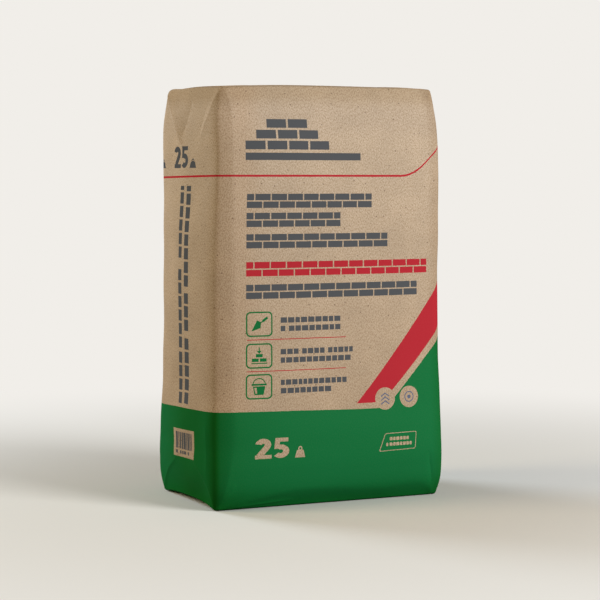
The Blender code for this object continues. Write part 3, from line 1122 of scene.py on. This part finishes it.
ends = {
    "dome": 3,  # the filling pushes the top end up in its middle
    "domePower": 0.8,
    "flap": 0.35,  # one layer of paper, seen as a step
    "flapEdge": 1.6,  # over which the step rises
    "earLayers": 0.8,  # the ears lie flatter than the lapped flaps
    "overlap": 13,  # the long flaps lap this far past the middle line
    "halfLong": 121.7,  # the top end, inside its rolled edge
    "halfShort": 71.3,
    "rings": 24,  # of faces, from an end's edge to its middle
    "ringFade": 4,  # the edge's own height is gone after one in this many of them
}
topShift, baseShift, sleeveShift = 3.0, -3.0, 4.0  # metres, so that the pieces' patterns differ


def flapRelief(x, y, halfLong, halfShort):
    # The folded flaps under the cover: the lapped middle, and the ears turned in at 45 degrees.
    overlap = smooth((ends["overlap"] - np.abs(y)) / ends["flapEdge"] + 0.5)
    ear = smooth((np.abs(x) - (halfLong - halfShort) - np.abs(y)) / ends["flapEdge"] + 0.5)
    return ends["flap"] * (overlap * (1 - ear) + ends["earLayers"] * ear)


def topAt(x, y):
    # Height of the folded top end, in millimetres.
    halfLong, halfShort = ends["halfLong"], ends["halfShort"]
    over = unit((1 - (x / halfLong) ** 2) * (1 - (y / halfShort) ** 2))
    dome = ends["dome"] * over ** ends["domePower"]
    relief = smooth(over * 12) * flapRelief(x, y, halfLong, halfShort)
    return solidTop + dome + relief + topLiftAt(x, y)


def baseAt(x, y):
    return sack["foot"] + baseLiftAt(x, y)


def capRings(edge):
    # Rings of points from an end's edge in to its middle line. edge is that edge, (n, 2) in order.
    halfLong, halfShort = np.abs(edge).max(0)
    middle = np.clip(edge[:, 0], -(halfLong - halfShort), halfLong - halfShort)
    spine = np.stack([middle, 0 * middle], axis=-1)
    return [edge + (spine - edge) * i / ends["rings"] for i in range(1, ends["rings"])]


def mapFromAbove(faces, sheet, shift):
    # Flat paper coordinates straight from each corner's place.
    for face in faces:
        for loop in face.loops:
            loop[sheet].uv = (loop.vert.co.x, loop.vert.co.y + shift)


def addBand(shape, outer, inner, turned=1):
    # Faces between two closed rings of points, turned round by -1.
    following = [*range(1, len(outer)), 0]
    return [shape.faces.new((outer[i], outer[j], inner[j], inner[i])[::turned])
            for i, j in enumerate(following)]


def addCap(shape, rim, edge, endAt, turned):
    # Closes an end of the sack inwards from its rim. The end takes up the rim's height over its first
    # rings, and turned is -1 where the faces look down.
    above = edge[:, 2] - endAt(edge[:, 0], edge[:, 1])
    inward = capRings(edge[:, :2])
    rings = [rim]
    for i, ring in enumerate(inward, 1):
        fading = max(0.0, 1 - ends["ringFade"] * i / len(inward)) ** 2
        height = endAt(ring[:, 0], ring[:, 1]) + above * fading
        rings.append([shape.verts.new(p * mm) for p in np.column_stack([ring, height])])
    cap = []
    for outer, inner in zip(rings, rings[1:]):
        cap += addBand(shape, outer, inner, turned)
    middle = shape.faces.new(rings[-1][::turned])
    return cap + bmesh.ops.triangulate(shape, faces=[middle])["faces"]


def sackMesh():
    flat, faces, inks, fold = flatSheet(printShapes(), foldLines())
    placedAt = sackSurface(flat[:, 0], flat[:, 1])
    shape = bmesh.new()
    sheet = shape.loops.layers.uv.new("paper")
    worn = shape.verts.layers.float.new("fold")
    verts = [shape.verts.new(p * mm) for p in placedAt]
    for vert, amount in zip(verts, fold):
        vert[worn] = amount
    slots = ["bare", *flexoInk["colours"]]
    for corners, name in zip(faces, inks):
        face = shape.faces.new([verts[i] for i in corners])
        face.material_index = slots.index(name)
        for loop, i in zip(face.loops, corners):
            loop[sheet].uv = flat[i] * mm
    print("sheet:", len(flat), "points,", len(faces), "faces")
    # The print runs on under the base.
    onEdge = mesh["onEdge"]
    for level, endAt, turned, ink, shift in ((0.0, baseAt, -1, "green", baseShift),
                                             (sackHeight, topAt, 1, "bare", topShift)):
        border = np.flatnonzero(np.abs(flat[:, 1] - level) < onEdge)
        rim = [i for i in border if flat[i, 0] < halfGirth - onEdge]
        rim.sort(key=lambda i: flat[i, 0])
        cap = addCap(shape, [verts[i] for i in rim], placedAt[rim], endAt, turned)
        for face in cap:
            face.material_index = slots.index(ink)
        mapFromAbove(cap, sheet, shift)
    bmesh.ops.remove_doubles(shape, verts=shape.verts, dist=2e-5)
    bmesh.ops.recalc_face_normals(shape, faces=shape.faces)
    return shape


def addPiece(name, shape, materials, node):
    piece = addMesh(name, shape, materials)
    piece.data.shade_smooth()
    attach(piece, "root")
    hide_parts(node)
    return piece


bare = paperMaterial("naturalKraftPaper", kraftPaper)
inked = [paperMaterial(ink + "FlexoInkOnKraft", kraftPaper, ink) for ink in flexoInk["colours"]]
body = addPiece("filledSack", sackMesh(), [bare, *inked], "sack")
print("sack:", len(body.data.vertices), "points,", len(body.data.polygons), "faces")


# The pasted covers and the valve sleeve

cover = {
    "topSize": (234, 123),
    "bottomSize": (228, 131),
    "cornerRadius": 3,
    "thickness": 0.35,
    "glueGap": 0.12,
    "spacing": 3,
}
sleeve = {
    "width": 90,
    "from": 80,  # along +X, under the cover
    "to": 137,
    "ply": 0.3,
    "plyShare": 0.8,  # of it that is solid paper, so that the plies stay apart
    "seat": 0.15,  # above the sack's top end
    "mouth": 1.8,  # how far the cut end gapes in its middle
    "closed": 0.1,  # and how far it gapes elsewhere
    "points": (37, 30),  # across it and along it
    "droop": 5.5,
    "sideDroop": 0.6,
    "hinge": 4,  # it starts to droop this far before the end's edge
    "seatEnd": 3,  # and follows the end's surface up to here before it
    # The cover over it starts to rise this far off, over this length, and clears it by this much.
    "bridge": (3, 5, 0.3),
}


def sleeveLift(x, y):
    # How much the sleeve raises the cover that passes over it.
    off, length, clear = sleeve["bridge"]
    beside = smooth((sleeve["width"] / 2 + off - np.abs(y)) / length)
    return (2 * sleeve["ply"] + clear) * beside * smooth((x - sleeve["from"] + off) / length)


def plate(size, underAt):
    # A round-cornered sheet of paper lying on a surface: its two faces and its cut edge.
    halfX, halfY = size[0] / 2, size[1] / 2
    outline = roundBox(-halfX, -halfY, halfX, halfY, cover["cornerRadius"])
    low, high = np.array(outline).min(0), np.array(outline).max(0)
    steps = [np.linspace(low[k], high[k], int((high[k] - low[k]) / cover["spacing"]) + 1)[1:-1]
             for k in (0, 1)]
    gridX, gridY = np.meshgrid(*steps)
    rim = outlineInSteps(outline)
    flat = [Vector(p) for p in (*rim, *zip(gridX.ravel(), gridY.ravel()))]
    found, _, faces, _, _, _ = delaunay_2d_cdt(flat, [], [list(range(len(rim)))], 1, 1e-4, True)
    points = np.array([tuple(p) for p in found])
    under = underAt(points[:, 0], points[:, 1])
    shape = bmesh.new()
    sheet = shape.loops.layers.uv.new("paper")
    lower, upper = [
        [shape.verts.new((x * mm, y * mm, (z + lift) * mm)) for (x, y), z in zip(points, under)]
        for lift in (0.0, cover["thickness"])
    ]
    for face in faces:
        shape.faces.new([upper[i] for i in face])
        shape.faces.new([lower[i] for i in reversed(face)])
    openEdges = [e for e in shape.edges if len(e.link_faces) == 1]
    lowerOf = dict(zip(upper, lower))
    for edge in openEdges:
        if edge.verts[0] in lowerOf:
            a, b = edge.verts
            if edge.link_loops[0].vert is a:
                a, b = b, a
            shape.faces.new((a, b, lowerOf[b], lowerOf[a]))
    mapFromAbove(shape.faces, sheet, topShift)
    bmesh.ops.recalc_face_normals(shape, faces=shape.faces)
    return shape


def sleeveMesh():
    # A flattened paper tube: two plies joined by folds at its sides, its cut end hanging a little open.
    half, ply = sleeve["width"] / 2, sleeve["ply"]
    across, along = sleeve["points"]
    rows = np.linspace(-half, half, across)
    edgeX = ends["halfLong"]
    shape = bmesh.new()
    sheet = shape.loops.layers.uv.new("paper")

    def heightAt(x, y):
        past = max(0.0, x - edgeX + sleeve["hinge"]) / (sleeve["to"] - edgeX + sleeve["hinge"])
        seated = float(topAt(np.array(min(x, edgeX - sleeve["seatEnd"])), np.array(y)))
        middle = seated + sleeve["seat"] - sleeve["droop"] * past**1.5
        return middle - sleeve["sideDroop"] * past * (y / half) ** 2

    def byCorners(face):
        corners = [vert.index for vert in face.verts]
        return min(corners) * len(shape.verts) + max(corners)

    loops = []
    for x in np.linspace(sleeve["from"], sleeve["to"], along):
        past = max(0.0, x - edgeX) / (sleeve["to"] - edgeX)
        gape = sleeve["closed"] + sleeve["mouth"] * past**1.5
        lower = [(x, y, heightAt(x, y)) for y in rows[::-1]]
        upper = [(x, y, heightAt(x, y) + ply + gape * max(0.0, 1 - (y / half) ** 2) + ply) for y in rows]
        loops.append([shape.verts.new(p) for p in np.array(lower + upper) * mm])
    for near, far in zip(loops, loops[1:]):
        addBand(shape, near, far)
    mapFromAbove(shape.faces, sheet, sleeveShift)
    bmesh.ops.recalc_face_normals(shape, faces=shape.faces)
    bmesh.ops.solidify(shape, geom=shape.faces[:], thickness=ply * sleeve["plyShare"] * mm)
    # It adds the cut ends' faces in an order that varies from run to run, so the faces are sorted.
    shape.verts.index_update()
    shape.faces.sort(key=byCorners)
    return shape


def underTopCover(x, y):
    return topAt(x, y) + cover["glueGap"] + sleeveLift(x, y)


coverPaper = paperMaterial("coverKraftPaper", {**kraftPaper, **coverKraft})
sleevePaper = paperMaterial("sleeveKraftPaper", {**kraftPaper, **sleeveKraft})
topSheet = plate(cover["topSize"], underTopCover)
baseSheet = plate(cover["bottomSize"], baseLiftAt)
addPiece("topCoverPatch", topSheet, [coverPaper], "top_cover")
addPiece("bottomCoverPatch", baseSheet, [coverPaper], "bottom_cover")
addPiece("valveSleevePaper", sleeveMesh(), [sleevePaper], "valve_sleeve")
print("covers and sleeve made")


# Floor, light and camera

studio = {
    "distance": 2.041,
    "azimuth": -24.58,
    "pitch": 3.695,
    "aim": (0.0, 0.0, 0.2119),
    "lens": 112.0,
    # Each softbox: azimuth from the front panel and height above the floor in degrees, light on the sack
    # in W/m2, colour, and whether it shows as gloss.
    "softboxes": {
        "keyLight": (30.0, 22.0, 3.15, "#F7FBFF", True),
        "sideLight": (-150.0, 24.0, 2.35, "#DCEDFF", False),
        "fillLight": (-100.0, 25.0, 1.2, "#FFEEC6", False),
    },
    "softboxDistance": 3.0,
    "softboxSize": 1.4,
    "skyColour": "#FFE9CC",
    "sky": 0.14,
    "backdrop": "#F1EEE9",
    "floor": "#E4E0D8",
    "floorBounce": "#8A8883",
    "floorHalf": 30.0,
    "floorFade": (0.2, 1.1),  # metres from the sack
    "floorRoughness": 0.9,
    "floorSpecular": 0.1,
}


def lookAtSack(piece, azimuth, height, distance):
    # Stands a light or the camera off in this direction, given in degrees, and turns it to the sack.
    a, h = math.radians(azimuth), math.radians(height)
    back = Vector((math.sin(a) * math.cos(h), -math.cos(a) * math.cos(h), math.sin(h)))
    piece.location = Vector(studio["aim"]) + back * distance
    piece.rotation_euler = back.to_track_quat("Z", "Y").to_euler()


def addSoftbox(name, azimuth, height, strength, colour, shine):
    distance = studio["softboxDistance"]
    light = bpy.data.lights.new(name, "AREA")
    light.shape = "DISK"
    light.size = studio["softboxSize"]
    light.energy = strength * math.pi * distance**2
    light.color = fromHex(colour)[:3]
    lamp = addObject(name, light)
    lookAtSack(lamp, azimuth, height, distance)
    lamp.visible_glossy = shine


def addFloor():
    # A pale matt floor. It throws little light back up, and melts into the backdrop away from the sack.
    material, tree, shader = newMaterial("mattWhiteFloor")
    cameraRay = addNode(tree, "LightPath")
    colour = addNode(tree, "Mix", {"data_type": "RGBA"},
                     {mixA: fromHex(studio["floorBounce"]), mixB: fromHex(studio["floor"])},
                     {mixFactor: cameraRay})
    tree.links.new(colour.outputs[mixColour], shader.inputs["Base Color"])
    shader.inputs["Roughness"].default_value = studio["floorRoughness"]
    shader.inputs["Specular IOR Level"].default_value = studio["floorSpecular"]
    place = addNode(tree, "TexCoord")
    away = addNode(tree, "VectorMath", {"operation": "LENGTH"}, links={0: place.outputs["Object"]})
    faded = addNode(tree, "MapRange", {"interpolation_type": "SMOOTHSTEP"}, spread(*studio["floorFade"]),
                    {"Value": away.outputs["Value"]})
    share = addNode(tree, "Math", {"operation": "MULTIPLY"}, links={0: faded, 1: cameraRay})
    glow = addNode(tree, "Emission", values={"Color": fromHex(studio["backdrop"])})
    mixed = addNode(tree, "MixShader", links={0: share, 1: shader, 2: glow})
    tree.links.new(mixed.outputs[0], tree.nodes["Material Output"].inputs["Surface"])
    shape = bmesh.new()
    bmesh.ops.create_grid(shape, x_segments=1, y_segments=1, size=studio["floorHalf"])
    floor = addMesh("studioFloor", shape, [material])


def addWorld():
    # A dim warm sky lights the sack, and the camera sees a plain pale backdrop.
    world = bpy.data.worlds.new("studioSky")
    world.use_nodes = True
    tree = world.node_tree
    sky = tree.nodes["Background"]
    sky.inputs["Color"].default_value = fromHex(studio["skyColour"])
    sky.inputs["Strength"].default_value = studio["sky"]
    backdrop = addNode(tree, "Background", values={"Color": fromHex(studio["backdrop"]), "Strength": 1.0})
    cameraRay = addNode(tree, "LightPath")
    seen = addNode(tree, "MixShader", links={0: cameraRay, 1: sky, 2: backdrop})
    tree.links.new(seen.outputs[0], tree.nodes["World Output"].inputs["Surface"])
    bpy.context.scene.world = world


def addCamera():
    lens = bpy.data.cameras.new("photoView")
    lens.lens = studio["lens"]
    lens.sensor_width = 36.0
    lens.clip_end = 100.0
    camera = addObject("photoView", lens)
    lookAtSack(camera, studio["azimuth"], studio["pitch"], studio["distance"])
    bpy.context.scene.camera = camera


addFloor()
addWorld()
for lightName, softbox in studio["softboxes"].items():
    addSoftbox(lightName, *softbox)
addCamera()
bpy.context.scene.view_settings.view_transform = "Standard"
print("studio set")
